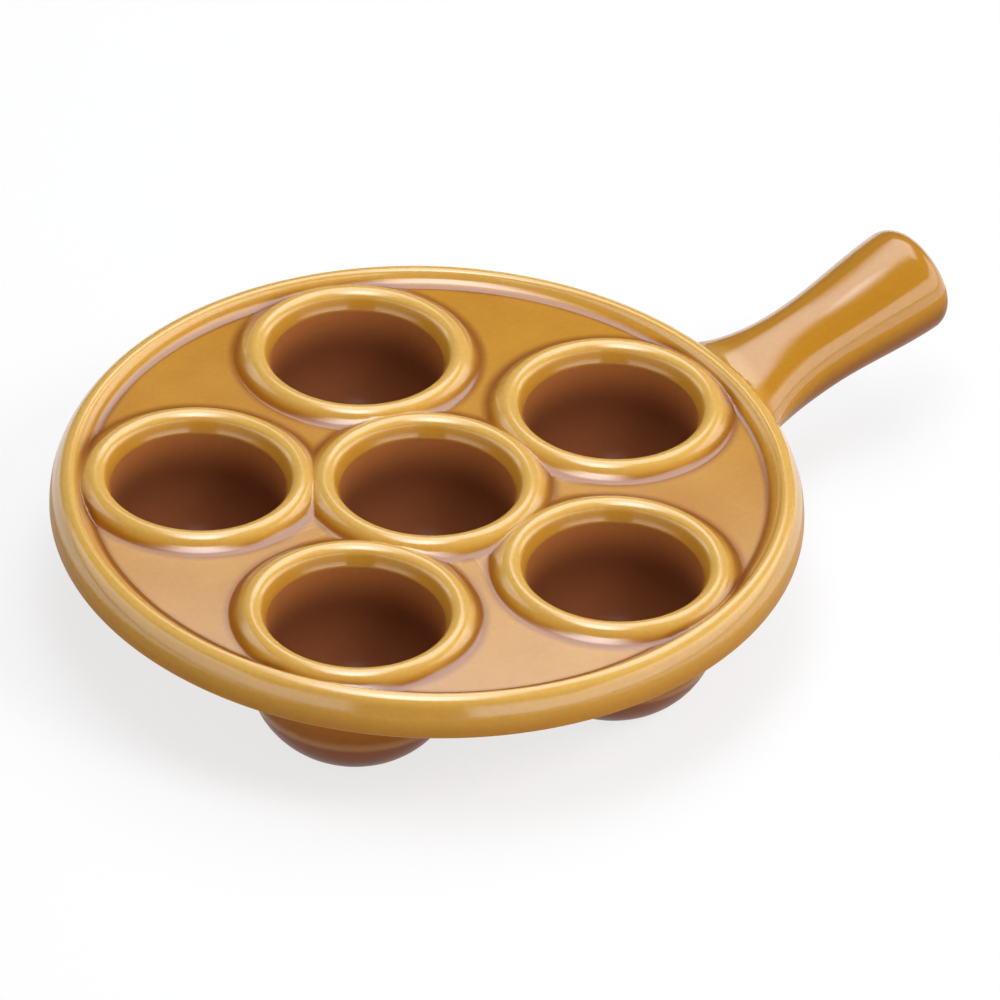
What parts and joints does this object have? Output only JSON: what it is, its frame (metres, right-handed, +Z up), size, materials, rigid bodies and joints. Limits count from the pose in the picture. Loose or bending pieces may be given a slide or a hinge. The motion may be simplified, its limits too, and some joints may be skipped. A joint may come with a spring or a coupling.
{
  "type": "escargot plate",
  "caption": "Round glazed stoneware plate with deep round wells for snails, rolled lips, cup feet and a stub handle.",
  "frame": {"origin": "on the plate's axis, at the plane of the table that the cup feet stand on", "axes": "+Z up along the plate's axis, +X along the handle seen from above"},
  "size_m": [0.2014, 0.15, 0.041],
  "materials": {
    "glaze": "glossy amber glaze, darker where it pools in grooves and wells"
  },
  "bodies": {
    "root": {"plate": "glaze"}
  },
  "joints": []
}
